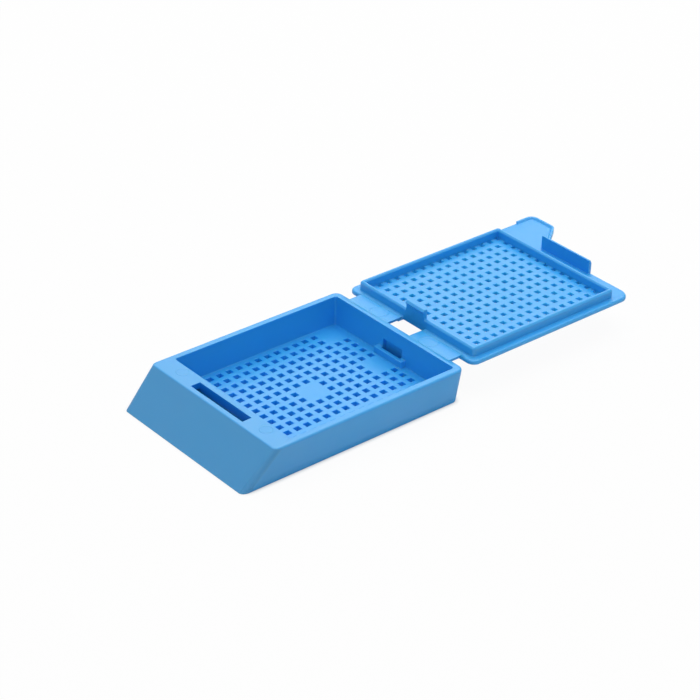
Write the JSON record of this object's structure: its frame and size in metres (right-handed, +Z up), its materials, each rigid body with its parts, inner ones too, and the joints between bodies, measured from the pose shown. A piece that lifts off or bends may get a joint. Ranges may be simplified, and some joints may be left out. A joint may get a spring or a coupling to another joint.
{
  "type": "tissue cassette",
  "caption": "Shallow perforated plastic tray with a sloped writing end and an integral perforated lid that folds over on two thin hinge straps and snaps shut.",
  "frame": {"origin": "middle of the tray's flat underside", "axes": "+Y from the sloped writing end towards the hinge and the opened lid, +X to the right seen from the writing end, +Z up out of the tray"},
  "size_m": [0.0284, 0.0815, 0.0086],
  "materials": {
    "blue_acetal": "satin moulded"
  },
  "bodies": {
    "tray": {"tray": "blue_acetal", "hinge_straps": "blue_acetal"},
    "lid": {"lid": "blue_acetal"}
  },
  "joints": [
    {"name": "lid_hinge", "type": "hinge", "parent": "tray", "child": "lid", "pos_m": [0, 0.02105, 0.0057], "axis": [1, 0, 0], "range_deg": [0, 180], "deforming": ["hinge_straps"]}
  ]
}
